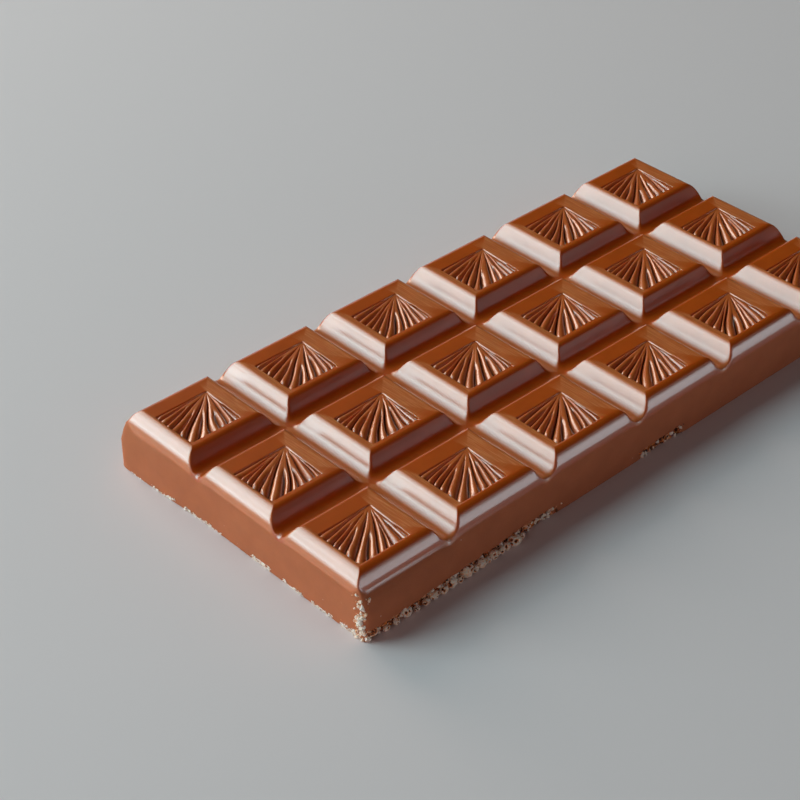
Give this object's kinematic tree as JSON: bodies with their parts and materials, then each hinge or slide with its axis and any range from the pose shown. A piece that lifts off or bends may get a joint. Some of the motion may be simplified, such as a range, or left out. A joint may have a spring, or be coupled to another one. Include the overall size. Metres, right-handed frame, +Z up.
{
  "type": "chocolate bar",
  "caption": "Moulded bar of milk chocolate: a slab of raised, bevelled squares, each with a sunk fan of rays, that snaps along the grooves between them.",
  "frame": {"origin": "middle of the underside, on the surface that the bar lies on", "axes": "+X along the bar, +Y across it, +Z up; the fans of rays start at the +X, +Y corner of each square"},
  "size_m": [0.128, 0.061, 0.0117],
  "materials": {
    "chocolate": "milk chocolate: satin, moulded top with a soft sheen, duller and finely speckled side walls, pale crumbly foot"
  },
  "bodies": {
    "root": {"chocolate_bar": "chocolate"}
  },
  "joints": []
}
